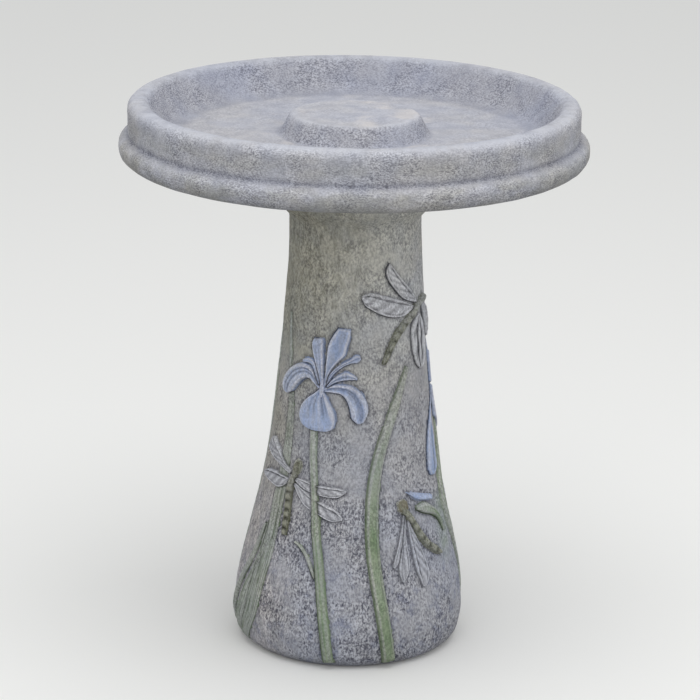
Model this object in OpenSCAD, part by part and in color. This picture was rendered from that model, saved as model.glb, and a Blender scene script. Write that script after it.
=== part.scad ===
// Bird bath: a cast bowl that sits on a spigot on top of a flared, hollow pedestal with raised garden relief
// Frame: +Z up, the ground at z = 0, the pedestal's axis on Z, the front towards -Y. Sizes in millimetres

/* [Overall] */
// Height from the ground to the top of the bowl's rim
total_h = 610; // [500:2:740]
// Widest diameter of the bowl, across its bead
bowl_d = 508; // [420:2:620]

/* [Bowl] */
// Height of the bowl casting, from its seat to the top of the rim
bowl_h = 64; // [58:1:80]
// Depth of the basin, from the top of the rim to the floor
basin_depth = 36; // [26:1:44]
// How far the bead stands out past the wall above it
bead_out = 10; // [4:0.5:14]
// Height of the notch above the bead, measured from the seat
bead_h = 27; // [26:1:34]
// Drop from that notch to the bead's upright face
shoulder_h = 11; // [8:1:12]
// Rounding at the top of the bead's face
bead_round = 9; // [4:1:9]
// Rounding under the bead
under_round = 14; // [6:1:14]
// Width of the rim, across its top
rim_w = 25; // [21:0.5:34]
// Rounding of the rim's two edges
rim_round = 10; // [4:0.5:10]
// Lean of the basin's inner wall from upright, in degrees
wall_lean = 35; // [15:1:45]
// Radius of the cove where the inner wall meets the floor
cove_r = 25; // [8:1:30]
// Radius of the flat top of the boss in the middle of the floor
boss_top_r = 66; // [56:1:80]
// Radius of the boss where it meets the floor
boss_base_r = 83.5; // [70:0.5:100]
// Height of the boss above the floor
boss_h = 21; // [12:1:24]

/* [Spigot and socket] */
// Radius of the spigot on top of the pedestal
spigot_r = 46; // [36:1:50]
// Height of the spigot above the seat
spigot_h = 28; // [16:1:32]
// Bevel round the spigot's upper edge
spigot_bevel = 4; // [1:0.5:8]
// Gap between the spigot and the socket's wall
spigot_gap = 2; // [0.5:0.5:4]
// Gap between the spigot's top and the socket's ceiling
ceiling_gap = 3; // [1:0.5:6]

/* [Pedestal] */
// Radius at the ground, before the foot's rounding is taken off
foot_r = 121; // [105:1:145]
// Rounding of the foot's lower edge
foot_round = 16; // [6:1:24]
// Radius at the belly, the widest place
belly_r = 127; // [110:1:153]
// Height of the belly above the ground
belly_z = 38; // [28:1:60]
// Radius where the flank sweeps in
flank_r = 112.5; // [98:0.5:126]
// Height of that place on the flank
flank_z = 124; // [90:1:150]
// Radius at the waist, where the sweep ends
waist_r = 93.5; // [84:0.5:110]
// Height of the waist
waist_z = 213; // [180:1:250]
// Radius of the upper column
upper_r = 79.7; // [76:0.1:92]
// Height at which the upper column is measured
upper_z = 329; // [290:1:350]
// Radius of the neck, the narrowest place
neck_r = 71.8; // [58:0.1:78]
// Distance of the neck below the seat
neck_drop = 64; // [52:1:86]
// Radius of the collar's shoulder, where the flare above the neck ends
collar_r = 88; // [80:0.5:106]
// Distance of that shoulder below the seat
collar_drop = 42; // [30:1:46]
// Radius of the seat under the bowl
cap_r = 94; // [86:1:112]
// Rounding of the seat's outer edge
cap_round = 5; // [2:0.5:8]
// Width of the ring that the foot stands on
foot_ring = 22; // [14:1:40]
// Wall left around the top of the hollow core
core_wall = 34; // [24:1:44]
// Solid depth left between the core and the seat
head_depth = 106; // [60:1:140]
// Rounding of the core's closed end
core_round = 12; // [4:1:20]

/* [Relief] */
// How far the relief is rooted into the pedestal's face
relief_root = 2; // [1:0.5:4]
// Thickness of the petals off the face
petal_t = 6; // [3:0.5:9]
// Breadth of the petals, as a share of their outlines
petal_spread = 1; // [0.7:0.05:1.1]
// Half width of the stems at the ground
stem_w = 6; // [4:0.5:8]
// Thickness of the stems off the face
stem_t = 6; // [3:0.5:9]
// Half width of the leaves at their broadest
leaf_w = 7; // [5:0.5:9]
// Thickness of the leaves off the face
leaf_t = 5; // [3:0.5:8]
// Half width of the dragonflies' bodies
body_w = 5; // [4:0.2:6.4]
// Thickness of the dragonflies' bodies off the face
body_t = 7; // [4:0.5:10]
// Breadth of the wings, as a share of their outlines
wing_spread = 1; // [0.7:0.05:1.1]
// Thickness of the wings off the face
wing_t = 3.5; // [2:0.5:5]

/* [Hidden] */
$fn = 96;

stone_c = [0.66, 0.64, 0.61];
petal_c = [0.52, 0.57, 0.72];
green_c = [0.52, 0.60, 0.42];
insect_c = [0.45, 0.42, 0.27];
wing_c = [0.70, 0.68, 0.66];

// The bowl's seat is the pedestal's top
pedestal_h = total_h - bowl_h;
bead_r = bowl_d / 2;
wall_r = bead_r - bead_out;
socket_r = spigot_r + spigot_gap;
socket_depth = spigot_h + ceiling_gap;
floor_z = bowl_h - basin_depth;
boss_z = floor_z + boss_h;
core_base_r = foot_r - foot_round - foot_ring;
core_top_r = neck_r - core_wall;
core_h = pedestal_h - head_depth;
neck_z = pedestal_h - neck_drop;

// Points on an arc, from one angle to another
function arc(centre, r, from, to, steps) =
    [for (i = [0 : steps]) let (a = from + (to - from) * i / steps) centre + r * [cos(a), sin(a)]];

// The pedestal's outline as [height, radius] stations from the ground up
stations = [[0, foot_r], [belly_z, belly_r], [flank_z, flank_r], [waist_z, waist_r],
    [upper_z, upper_r], [neck_z, neck_r], [pedestal_h - collar_drop, collar_r], [pedestal_h, cap_r]];
last = len(stations) - 1;

// Slope of the straight line between two stations, and the tangent of the smooth curve at one
function slope(i) = (stations[i + 1][1] - stations[i][1]) / (stations[i + 1][0] - stations[i][0]);
function tangent(i) =
    i == 0 ? slope(0) :
    i == last ? slope(last - 1) :
    slope(i - 1) * slope(i) <= 0 ? 0 :
    2 * slope(i - 1) * slope(i) / (slope(i - 1) + slope(i));

// Which pair of stations a height lies between
function span(z, i = 0) = i >= last - 1 || z < stations[i + 1][0] ? i : span(z, i + 1);

// Radius of the smooth curve through the stations
function curve_r(z) =
    let (i = span(z), gap = stations[i + 1][0] - stations[i][0], t = (z - stations[i][0]) / gap)
    stations[i][1] * (1 + 2 * t) * (1 - t) * (1 - t)
    + tangent(i) * gap * t * (1 - t) * (1 - t)
    + stations[i + 1][1] * t * t * (3 - 2 * t)
    + tangent(i + 1) * gap * t * t * (t - 1);

// What a rounded edge takes off the radius at a distance from the edge
function edge_cut(round, distance) =
    distance >= round ? 0 : round - sqrt(max(round * round - pow(round - distance, 2), 0));

// Radius of the pedestal's face at a height, with both edges rounded
function face_r(z) = curve_r(z) - edge_cut(foot_round, z) - edge_cut(cap_round, pedestal_h - z);

// Relief routes are laid out as [angle from the front, height] for this height of pedestal, and stretch with it
layout_h = 546;
function raised(route) = [for (p = route) [p[0], p[1] * pedestal_h / layout_h]];
function turned(route, by) = [for (p = route) [p[0] + by, p[1]]];

// A place along a smooth curve through a list of points or numbers, from 0 at its start to 1 at its end
function along(list, t) =
    let (
        n = len(list) - 1,
        i = min(floor(t * n), n - 1),
        f = t * n - i,
        a = list[max(i - 1, 0)],
        b = list[i],
        c = list[i + 1],
        d = list[min(i + 2, n)]
    )
    b + 0.5 * f * ((c - a) + f * ((2 * a - 5 * b + 4 * c - d) + f * (3 * b - a - 3 * c + d)));

// Section across a strip as [share of half width, share of thickness]. Below zero is the root in the face
strip_section = [[-1, -1], [-1, 0.4], [-0.45, 1], [0.45, 1], [1, 0.4], [1, -1]];

// One ring of points across a strip that follows a route with a half width
function route_ring(route, widths, thick, t) =
    let (
        p = along(route, t),
        before = along(route, max(t - 0.01, 0)),
        after = along(route, min(t + 0.01, 1)),
        r = face_r(p[1]),
        way = [(after[0] - before[0]) * r * PI / 180, after[1] - before[1]],
        dir = way / norm(way),
        w = max(along(widths, t), 0.8)
    )
    [for (s = strip_section)
        on_face(p[0] - s[0] * w * dir[1] / r * 180 / PI, p[1] + s[0] * w * dir[0], thick, s[1])];

// One ring of points across a strip that fills the space between two edges
function edge_ring(right, left, thick, spread, t) =
    let (a = along(right, t), b = along(left, t))
    [for (s = strip_section)
        let (p = (a + b) / 2 + s[0] * spread * (b - a) / 2)
        on_face(p[0], p[1], thick, s[1])];

// A point on the pedestal's face, lifted off it by a share of a thickness, or sunk into it for a root
function on_face(angle, z, thick, share) =
    let (out = face_r(z) + (share < 0 ? -relief_root : thick * share))
    [out * sin(angle), -out * cos(angle), z];

// A closed skin over a row of rings
module skin(rings) {
    n = len(strip_section);
    steps = len(rings) - 1;
    polyhedron(
        points = [for (ring = rings) each ring],
        faces = concat(
            [for (i = [0 : steps - 1], k = [0 : n - 1]) [i * n + k, i * n + (k + 1) % n, (i + 1) * n + k]],
            [for (i = [1 : steps], k = [0 : n - 1])
                [i * n + k, (i - 1) * n + (k + 1) % n, i * n + (k + 1) % n]],
            [for (k = [1 : n - 2]) [0, k + 1, k]],
            [for (k = [1 : n - 2]) [steps * n, steps * n + k, steps * n + k + 1]]
        )
    );
}

// A raised strip along a route on the pedestal's face, with half widths listed from its root to its tip
module strip(route, widths, thick, steps = 8) {
    way = raised(route);
    skin([for (i = [0 : steps]) route_ring(way, widths, thick, i / steps)]);
}

// A raised strip between its right and left edges, as they lie on the way from its root to its tip
module blade(right, left, thick, spread, steps = 10) {
    a = raised(right);
    b = raised(left);
    skin([for (i = [0 : steps]) edge_ring(a, b, thick, spread, i / steps)]);
}

module petal(right, left, by = 0, steps = 10) {
    blade(turned(right, by), turned(left, by), petal_t, petal_spread, steps);
}

module wing(right, left) {
    blade(right, left, wing_t, wing_spread, 9);
}

// Outlines of the relief's plainer shapes, as shares of a half width from root to tip
fall_shape = [0.2, 0.55, 0.9, 1, 0.62];
droop_shape = [0.35, 0.55, 0.8, 1, 1, 0.45];
standard_shape = [0.3, 0.55, 1, 0.95];
stem_shape = [0.68, 0.7, 0.8, 0.9, 0.95];
leaf_shape = [0.15, 0.6, 0.9, 1, 0.9, 0.95];
wing_shape = [0.25, 0.7, 1, 1, 0.35];
body_shape = [1, 1.1, 0.82, 0.85, 0.88, 0.6];

// Half widths of the side flower's hidden petals and of the wings on the far side
droop_w = 8;
side_fall_w = 14;
near_standard_w = 6.5;
far_standard_w = 9;
far_wing_w = 7;

module bowl() {
    rim_out = [wall_r - rim_round, bowl_h - rim_round];
    rim_in = [wall_r - rim_w + rim_round, bowl_h - rim_round];
    lean = 180 - wall_lean;
    wall_top = rim_in + rim_round * [cos(lean), sin(lean)];
    drop = (wall_top[1] + cove_r * sin(wall_lean) - floor_z - cove_r) / cos(wall_lean);
    cove_x = wall_top[0] - drop * sin(wall_lean) - cove_r * cos(wall_lean);
    outline = concat(
        [[0, socket_depth], [socket_r, socket_depth], [socket_r, 0]],
        arc([bead_r - under_round, under_round], under_round, -90, 0, 6),
        arc([bead_r - bead_round, bead_h - shoulder_h], bead_round, 0, 60, 5),
        [[wall_r, bead_h]],
        arc(rim_out, rim_round, 0, 90, 6),
        arc(rim_in, rim_round, 90, lean, 5),
        arc([cove_x, floor_z + cove_r], cove_r, -wall_lean, -90, 6),
        [for (i = [0 : 10]) [boss_base_r + (boss_top_r - boss_base_r) * i / 10,
            floor_z + boss_h * (1 - cos(180 * i / 10)) / 2]],
        [[0, boss_z]]
    );
    color(stone_c)
        translate([0, 0, pedestal_h])
            rotate_extrude()
                polygon(outline);
}

module pedestal() {
    foot_levels = [for (i = [0 : 6]) foot_round * (1 - cos(15 * i))];
    column = pedestal_h - foot_round - cap_round;
    face_levels = [for (i = [1 : 48]) foot_round + column * i / 48];
    cap_levels = [for (i = [1 : 4]) pedestal_h - cap_round * (1 - sin(22.5 * i))];
    spigot_top = pedestal_h + spigot_h;
    outline = concat(
        [[core_base_r, 0]],
        [for (z = concat(foot_levels, face_levels, cap_levels)) [face_r(z), z]],
        [[spigot_r, pedestal_h], [spigot_r, spigot_top - spigot_bevel], [spigot_r - spigot_bevel, spigot_top]],
        [[0, spigot_top], [0, core_h], [core_top_r - core_round, core_h]],
        [[core_top_r, core_h - core_round]]
    );
    color(stone_c)
        rotate_extrude()
            polygon(outline);
}

// The bloom's three hanging petals: one broad in the middle, one to each side
module falls(by) {
    petal([[-25.5, 308], [-30, 302], [-36, 295], [-40, 286], [-41, 277], [-39, 269], [-34, 264], [-27, 262]],
        [[-23, 308], [-20.5, 302], [-17.5, 295], [-14.5, 287], [-12.5, 278], [-12.5, 270], [-15, 264],
        [-20, 262]], by, 12);
    petal([[-21, 305], [-15, 305], [-9.5, 304], [-6, 300], [-3.5, 293], [-2, 285], [-1, 278], [3, 272]],
        [[-22, 309], [-15, 314], [-8, 315], [0, 313], [6, 306], [10, 296], [11, 285], [7.5, 273]], by, 14);
    petal([[-25.5, 310], [-29, 321], [-33, 330], [-40, 333], [-49, 329], [-57, 320], [-62, 308], [-61, 298],
        [-56, 294]],
        [[-26, 308], [-30, 313], [-33, 317], [-37, 317], [-41.5, 313], [-45, 307.5], [-48, 302], [-50.5, 298],
        [-53, 296]], by, 14);
}

// The two petals that stand up
module standards(by) {
    petal([[-20.5, 311], [-19, 324], [-15, 334], [-10.5, 341], [-6.5, 347], [-5, 356], [-3, 366], [-2.5, 375]],
        [[-22, 312], [-21.5, 324], [-21.5, 334], [-21, 345], [-20.5, 355], [-18.5, 363], [-15.5, 370],
        [-12.5, 376]], by, 12);
    petal([[-22.5, 311], [-23, 324], [-23.5, 337], [-24, 350], [-24, 360], [-25, 363]],
        [[-24.5, 311], [-27, 324], [-30, 336], [-33, 348], [-34, 357], [-32.5, 362]], by);
}

// The small curling arms between them
module arms(by) {
    petal([[-20, 311], [-17, 321], [-13, 328], [-8, 334], [-2, 338], [3, 339], [5.5, 343]],
        [[-21.5, 313], [-18.5, 324], [-14, 332], [-8.5, 338], [-3, 342.5], [1, 347.5], [4.5, 347]], by);
    petal([[-19, 310], [-15, 315], [-10, 318], [-5, 319.5], [0, 320], [2.5, 320]],
        [[-20, 312], [-16, 319.5], [-11, 325.5], [-5.5, 328.5], [-0.5, 326], [3, 322]], by);
    petal([[-25, 313], [-27.5, 323], [-29, 331], [-31, 337], [-35, 340], [-41, 338]],
        [[-26.5, 312], [-29.5, 322], [-31, 328], [-33, 333], [-36, 334.5], [-40.5, 334]], by);
}

module front_iris_falls() color(petal_c) falls(0);
module front_iris_standards() color(petal_c) standards(0);
module front_iris_arms() color(petal_c) arms(0);

module front_stem() color(green_c)
    strip([[-28.5, 266], [-27, 228], [-24, 192], [-21, 155], [-17, 118], [-14, 81], [-11.5, 45], [-9.5, 8]],
        stem_w * stem_shape, stem_t, 18);

module front_tendril() color(green_c)
    strip([[-33.5, 138], [-30, 135], [-26.5, 129], [-23.5, 121], [-18.5, 103]],
        0.3 * stem_w * [0.6, 0.9, 1, 1], stem_t / 2);

module front_leaf() color(green_c)
    strip([[45, 328], [34.5, 294], [25, 262], [18, 230], [14, 198], [12.5, 166], [13, 134], [15, 102],
        [17.5, 66], [20, 30], [22, 8]], leaf_w * [0.15, 0.5, 0.62, 0.72, 0.8, 0.86, 0.92, 0.96, 1], leaf_t, 18);

// A long blade down the left side, a second that parts from it near the ground, and a narrow third beside that
module left_leaves() color(green_c) {
    blade([[-63, 382], [-60, 340], [-56, 300], [-54.5, 255], [-55.5, 215], [-57.5, 175], [-56, 140], [-59, 108],
        [-61, 76], [-64, 42], [-74, 8]],
        [[-62, 382], [-56.5, 340], [-51, 300], [-47.5, 255], [-47, 215], [-47.5, 175], [-47.5, 140],
        [-48.5, 108], [-50.5, 76], [-54, 42], [-64, 8]], 0.6 * leaf_t, leaf_w / 7, 20);
    blade([[-57, 150], [-60.5, 108], [-67, 76], [-74.5, 42], [-84, 8]],
        [[-55.5, 150], [-54.5, 108], [-58.5, 76], [-63, 42], [-72, 8]], 0.5 * leaf_t, leaf_w / 7, 10);
    strip([[-58.5, 146], [-64.5, 108], [-72.5, 76], [-81, 42], [-91, 8]], leaf_w * [0.15, 0.5, 0.65, 0.7, 0.7],
        0.7 * leaf_t, 10);
}

module left_edge_leaf() color(green_c)
    strip([[-82, 360], [-87, 310], [-92, 255], [-97, 190], [-101, 120], [-104, 60], [-105, 8]],
        1.1 * leaf_w * leaf_shape, 0.6 * leaf_t, 14);

module left_dragonfly_body() color(insect_c)
    strip([[-38.5, 223], [-41, 208], [-43, 193], [-42.5, 176], [-42, 159], [-41.5, 142]], body_w * body_shape,
        body_t, 12);

module left_dragonfly_wings() color(wing_c) {
    wing([[-44, 211], [-50, 219], [-54.5, 226], [-60.5, 233], [-66, 240]],
        [[-45, 208], [-55.5, 215], [-65.5, 220], [-73, 226.5], [-70.5, 238.5]]);
    wing([[-44, 202], [-50, 204], [-57, 205], [-64.5, 203.5], [-71, 201], [-77, 196.5]],
        [[-44.5, 200], [-48.5, 193], [-53.5, 189.5], [-60.5, 190.5], [-67, 191.5], [-75, 193]]);
    wing([[-40, 202], [-32, 196], [-25, 193], [-17, 191], [-9.5, 191], [-4, 196]],
        [[-40, 205.5], [-31, 204.5], [-24, 202.5], [-16, 201.5], [-9, 201], [-3.5, 198.5]]);
    wing([[-40.5, 197.5], [-34.5, 186], [-29.5, 178], [-21.5, 172], [-13, 165.5], [-6, 166.5]],
        [[-40.5, 200.5], [-32, 194], [-25, 188], [-17.5, 183], [-9.5, 177], [-5.5, 169]]);
}

module upper_dragonfly_body() color(insect_c)
    strip([[76, 399], [63, 393], [51, 383], [40, 371], [31, 355], [24, 335]], body_w * body_shape, body_t, 12);

module upper_dragonfly_wings() color(wing_c) {
    wing([[60.5, 398], [53, 411], [46, 421], [40, 430], [35, 438], [31.5, 444.5]],
        [[59, 396], [44, 404], [35, 416], [29.5, 426], [27, 436], [30, 445]]);
    wing([[56.5, 393], [45.5, 400.5], [34, 406.5], [24, 411], [15.5, 414.5], [9.5, 414], [6.5, 411.5]],
        [[51.5, 389.5], [42.5, 385.5], [33.5, 385.5], [23.5, 389.5], [15, 395.5], [9, 401], [6, 408.5]]);
    wing([[60.5, 381], [54, 374.5], [51.5, 365], [52, 352.5], [54, 339.5], [57.5, 327.5], [62, 321.5]],
        [[64.5, 382], [69, 368.5], [71.5, 357], [72, 344], [71, 332], [68.5, 325], [65, 321]]);
    wing([[68.5, 392], [71, 381], [73.5, 371], [77, 360], [81.5, 350.5]],
        [[72.5, 393], [79.5, 385], [84.5, 374.5], [87, 362.5], [84, 351.5]]);
}

module lower_dragonfly_body() color(insect_c)
    strip([[32.5, 183], [33.5, 174], [37.5, 164], [41.5, 152], [46, 138.5], [52.5, 126], [61, 115.5]],
        body_w * body_shape, body_t, 12);

module lower_dragonfly_wings() color(wing_c) {
    wing([[32.5, 169], [31, 156], [29, 142.5], [27, 130.5], [25, 120], [24.5, 114.5]],
        [[33, 168.5], [32, 156], [31, 142], [29.5, 130], [28, 119.5], [25.5, 112.5]]);
    wing([[33, 168], [32, 155.5], [31, 142], [29.5, 130], [28, 117.5], [28, 107], [29.5, 97]],
        [[34, 168], [33.5, 155], [33.5, 141], [34, 128.5], [34.5, 117], [33.5, 106.5], [30.5, 96.5]]);
    wing([[35, 167], [35.5, 154.5], [36, 142], [37, 128.5], [38, 115.5], [39.5, 102.5], [42.5, 87]],
        [[36, 167], [38.5, 152], [41.5, 138], [44, 125.5], [46.5, 112], [47.5, 98.5], [44.5, 86]]);
}

module side_iris_falls() color(petal_c) {
    petal([[90, 284], [79, 272], [72, 259], [67, 247], [64, 235], [61.5, 222], [60.5, 210], [62.5, 201]],
        [[92, 286], [82, 272], [77, 258], [76, 244], [75, 231], [74, 217], [73, 207], [67, 199]], 0, 12);
    strip([[100, 289], [107, 296], [115, 284], [121, 256], [123, 238], [122, 224]],
        droop_w * petal_spread * droop_shape, petal_t, 12);
    strip([[99, 287], [102, 270], [104, 252], [104.5, 236]],
        side_fall_w * petal_spread * fall_shape, petal_t, 9);
}

module side_iris_standards() color(petal_c) {
    strip([[99, 290], [101, 301], [103, 313], [104, 326]],
        near_standard_w * petal_spread * standard_shape, petal_t);
    strip([[101, 292], [107, 308], [113, 325], [118, 343]],
        far_standard_w * petal_spread * standard_shape, petal_t);
}

module side_stem() color(green_c)
    strip([[98, 250], [88, 222], [80.5, 200], [76, 176], [78, 150], [86, 120], [98, 70], [105, 8]],
        1.3 * stem_w * [0.65, 0.85, 1, 1, 0.95, 0.9, 0.85], 0.6 * stem_t, 16);

module side_bud_petals() color(petal_c)
    petal([[38.5, 189], [42, 183.5], [48, 179.5], [58, 176]],
        [[37, 191], [42, 190], [49, 186.5], [59, 181.5]]);

module side_bud_sheath() color(green_c)
    blade([[43, 171], [49, 165], [56, 160], [61.5, 153], [65, 144], [67.5, 136]],
        [[43, 175], [50.5, 176.5], [58, 169], [63, 160], [66.5, 149], [69, 138]], petal_t, petal_spread, 12);

module back_iris_falls() color(petal_c) falls(196);
module back_iris_standards() color(petal_c) standards(196);
module back_iris_arms() color(petal_c) arms(196);

module back_stem() color(green_c)
    strip([[168, 266], [167, 239], [168, 205], [171, 165], [175, 123], [179, 81], [182, 45], [185, 8]],
        stem_w * stem_shape, stem_t, 18);

module back_leaves() color(green_c) {
    strip([[234, 321], [224, 272], [214, 230], [208, 188], [206, 156], [206, 120], [207, 75], [210, 8]],
        leaf_w * leaf_shape, leaf_t, 18);
    strip([[132, 250], [138, 205], [142, 160], [143, 110], [143, 60], [142, 8]],
        leaf_w * leaf_shape, leaf_t, 14);
}

module back_dragonfly_body() color(insect_c)
    strip([[228, 216], [231, 203], [234, 188], [239, 168], [245, 146]], body_w * body_shape, body_t, 12);

// One dragonfly wing along a route from its root on the body to its tip, for the wings on the far side
module route_wing(route, wide) {
    strip(route, far_wing_w * wide * wing_spread * wing_shape, wing_t, 8);
}

module back_dragonfly_wings() color(wing_c) {
    route_wing([[229.5, 205], [224, 220], [219, 236], [215, 251]], 0.95);
    route_wing([[232, 206], [238, 221], [245, 236], [252, 249]], 1);
    route_wing([[231, 199], [227, 184], [222, 167], [217, 150]], 0.95);
    route_wing([[234, 201], [241.5, 203], [249, 205], [256, 205]], 1.05);
}

bowl();
pedestal();
front_iris_falls();
front_iris_standards();
front_iris_arms();
front_stem();
front_tendril();
front_leaf();
left_leaves();
left_edge_leaf();
left_dragonfly_body();
left_dragonfly_wings();
upper_dragonfly_body();
upper_dragonfly_wings();
lower_dragonfly_body();
lower_dragonfly_wings();
side_iris_falls();
side_iris_standards();
side_stem();
side_bud_petals();
side_bud_sheath();
back_iris_falls();
back_iris_standards();
back_iris_arms();
back_stem();
back_leaves();
back_dragonfly_body();
back_dragonfly_wings();
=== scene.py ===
import math

import bpy
import numpy as np
from mathutils import Euler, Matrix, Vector, noise
from mathutils.bvhtree import BVHTree


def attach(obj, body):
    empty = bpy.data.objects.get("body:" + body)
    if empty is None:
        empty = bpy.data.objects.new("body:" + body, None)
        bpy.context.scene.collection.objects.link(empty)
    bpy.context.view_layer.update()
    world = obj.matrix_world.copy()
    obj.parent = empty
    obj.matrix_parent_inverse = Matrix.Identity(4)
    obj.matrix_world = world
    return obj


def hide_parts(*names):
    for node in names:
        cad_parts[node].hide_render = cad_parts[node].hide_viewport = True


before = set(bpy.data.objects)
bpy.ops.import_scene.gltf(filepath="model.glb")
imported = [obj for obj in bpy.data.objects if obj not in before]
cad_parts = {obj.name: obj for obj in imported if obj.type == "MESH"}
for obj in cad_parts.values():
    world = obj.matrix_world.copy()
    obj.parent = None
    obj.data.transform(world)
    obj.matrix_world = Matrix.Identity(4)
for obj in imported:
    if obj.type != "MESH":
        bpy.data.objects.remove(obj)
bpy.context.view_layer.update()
scene = bpy.context.scene
mm = 0.001
print("frame loaded:", len(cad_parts), "nodes")


def pickNothing():
    bpy.ops.object.select_all(action="DESELECT")


def pickOnly(piece):
    pickNothing()
    piece.select_set(True)
    bpy.context.view_layer.objects.active = piece


def paint(red, green, blue):
    # a colour as it looks on screen, 0 to 255, turned into linear light
    def linear(c):
        c = c / 255
        return c / 12.92 if c <= 0.04045 else ((c + 0.055) / 1.055) ** 2.4
    return (linear(red), linear(green), linear(blue), 1)


def smooth(low, high, x):
    t = np.clip((x - low) / (high - low), 0, 1)
    return t * t * (3 - 2 * t)


def editAll():
    bpy.ops.object.mode_set(mode="EDIT")
    bpy.ops.mesh.select_all(action="SELECT")


def cleanMesh(gap):
    # merges doubles, turns every face outward and leaves edit mode
    bpy.ops.mesh.select_all(action="SELECT")
    bpy.ops.mesh.remove_doubles(threshold=gap)
    bpy.ops.mesh.normals_make_consistent(inside=False)
    bpy.ops.object.mode_set(mode="OBJECT")


def readPoints(piece, what="co"):
    flat = np.empty(len(piece.data.vertices) * 3)
    piece.data.vertices.foreach_get(what, flat)
    return flat.reshape(-1, 3)


def writePoints(piece, points):
    piece.data.vertices.foreach_set("co", np.asarray(points, float).ravel())
    piece.data.update()


def writeAttributes(piece, **layers):
    for name, values in layers.items():
        layer = piece.data.attributes.get(name) or piece.data.attributes.new(name, "FLOAT", "POINT")
        layer.data.foreach_set("value", np.asarray(values, np.float32))


def noiseAt(points, scale, stretch=1.0, shift=0.0):
    # smooth noise at points in metres; a stretch below 1 draws it out along the height
    return np.array([noise.noise(Vector((x * scale + shift, y * scale - shift, z * scale * stretch + shift)))
                     for x, y, z in points])


def finishPiece(piece, body, nodes, material):
    piece.data.materials.clear()
    piece.data.materials.append(material)
    pickOnly(piece)
    bpy.ops.object.shade_smooth()
    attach(piece, body)
    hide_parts(*nodes)
    print("piece", piece.name, len(piece.data.polygons), "faces")


# Camera, at the photograph's height, angle and slight roll
view = {"place": (0, -3.336, 1.3435), "tilt": 73.083, "roll": 0.85, "lens": 163.17, "sensor": 36,
        "shift": -0.0017, "clipEnd": 50}
pickNothing()
bpy.ops.object.camera_add(location=view["place"])
camera = bpy.context.active_object
tilt, roll = math.radians(view["tilt"]), math.radians(view["roll"])
camera.rotation_euler = (Euler((tilt, 0, 0)).to_matrix() @ Euler((0, 0, roll)).to_matrix()).to_euler()
camera.data.lens = view["lens"]
camera.data.sensor_width = view["sensor"]
camera.data.shift_x = view["shift"]
camera.data.clip_end = view["clipEnd"]
scene.camera = camera
scene.view_settings.view_transform = "Standard"


# Node helpers: they work in the tree opened last, and a socket is fed by a link or by a plain value
work = {"tree": None}


def feed(socket, value):
    if isinstance(value, bpy.types.NodeSocket):
        work["tree"].links.new(value, socket)
    else:
        socket.default_value = value


def newNode(kind, inputs=(), **settings):
    node = work["tree"].nodes.new(kind)
    for name, value in settings.items():
        setattr(node, name, value)
    for socket, value in dict(inputs).items():
        feed(node.inputs[socket], value)
    return node.outputs


def calc(way, a, b, clamp=False):
    return newNode("ShaderNodeMath", {0: a, 1: b}, operation=way, use_clamp=clamp)[0]


def product(a, b, clamp=False):
    return calc("MULTIPLY", a, b, clamp)


def blend(share, a, b, way="MIX"):
    return newNode("ShaderNodeMix", {0: share, 6: a, 7: b}, data_type="RGBA", blend_type=way)[2]


def times(colour, factors):
    return blend(1.0, colour, factors, "MULTIPLY")


def tinted(share, colour, factors):
    return blend(share, colour, times(colour, factors))


def stepUp(value, low, high, toLow=0.0, toHigh=1.0):
    given = enumerate((value, low, high, toLow, toHigh))
    return newNode("ShaderNodeMapRange", given, interpolation_type="SMOOTHSTEP")[0]


def grain(place, scale, detail=2.0, rough=0.5):
    given = {"Vector": place, "Scale": scale, "Detail": detail, "Roughness": rough}
    return newNode("ShaderNodeTexNoise", given)[0]


def stretched(place, upward):
    return newNode("ShaderNodeVectorMath", {0: place, 1: (1, 1, upward)}, operation="MULTIPLY")[0]


def axes(place):
    return newNode("ShaderNodeSeparateXYZ", {0: place})


def attribute(name):
    return newNode("ShaderNodeAttribute", attribute_name=name)["Fac"]


def newGroup(name, inputs, outputs):
    tree = work["tree"] = bpy.data.node_groups.new(name, "ShaderNodeTree")
    for sockets, way in ((inputs, "INPUT"), (outputs, "OUTPUT")):
        for label, kind in sockets:
            tree.interface.new_socket(name=label, in_out=way, socket_type="NodeSocket" + kind)
    return tree, tree.nodes.new("NodeGroupInput").outputs, tree.nodes.new("NodeGroupOutput").inputs


def useGroup(group, **values):
    return newNode("ShaderNodeGroup", values, node_tree=group)


# Cast stone: fine grain, clumped dark pits, slow clouds of tint, dark wash and painted shade in the hollows
stoneGroup, given, put = newGroup(
    "castStone",
    [("Place", "Vector"), ("Grain", "Vector"), ("Pale", "Color"), ("Deep", "Color"), ("Speck", "Color"),
     ("Cool", "Color"), ("Warm", "Color"), ("Contrast", "Float"), ("Specks", "Float"), ("Scale", "Float"),
     ("Pit", "Float"), ("Wash", "Float")],
    [("Color", "Color"), ("Roughness", "Float"), ("Height", "Float")])
clouds = grain(given["Place"], 11.0, 3.0, 0.55)
mottle = grain(given["Place"], 52.0, 3.0, 0.6)
clumps = grain(given["Place"], 24.0, 3.0, 0.55)
fine = grain(given["Grain"], given["Scale"], 3.0, 0.65)
coarse = grain(given["Grain"], product(given["Scale"], 0.66), 3.0, 0.7)
middle = blend(0.56, given["Deep"], given["Pale"])
sandy = blend(stepUp(fine, 0.38, 0.63), given["Pale"], given["Deep"])
density = stepUp(clumps, 0.38, 0.62)
sandiness = calc("ADD", product(density, 0.6), 0.5)
colour = blend(product(given["Contrast"], sandiness), middle, sandy)
mottled = blend(stepUp(mottle, 0.32, 0.66), (0.9, 0.9, 0.92, 1), (1.07, 1.06, 1.05, 1))
clouded = blend(stepUp(clouds, 0.38, 0.62), given["Cool"], given["Warm"])
colour = times(times(colour, mottled), clouded)
edge = calc("SUBTRACT", 0.635, product(density, 0.12))
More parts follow.
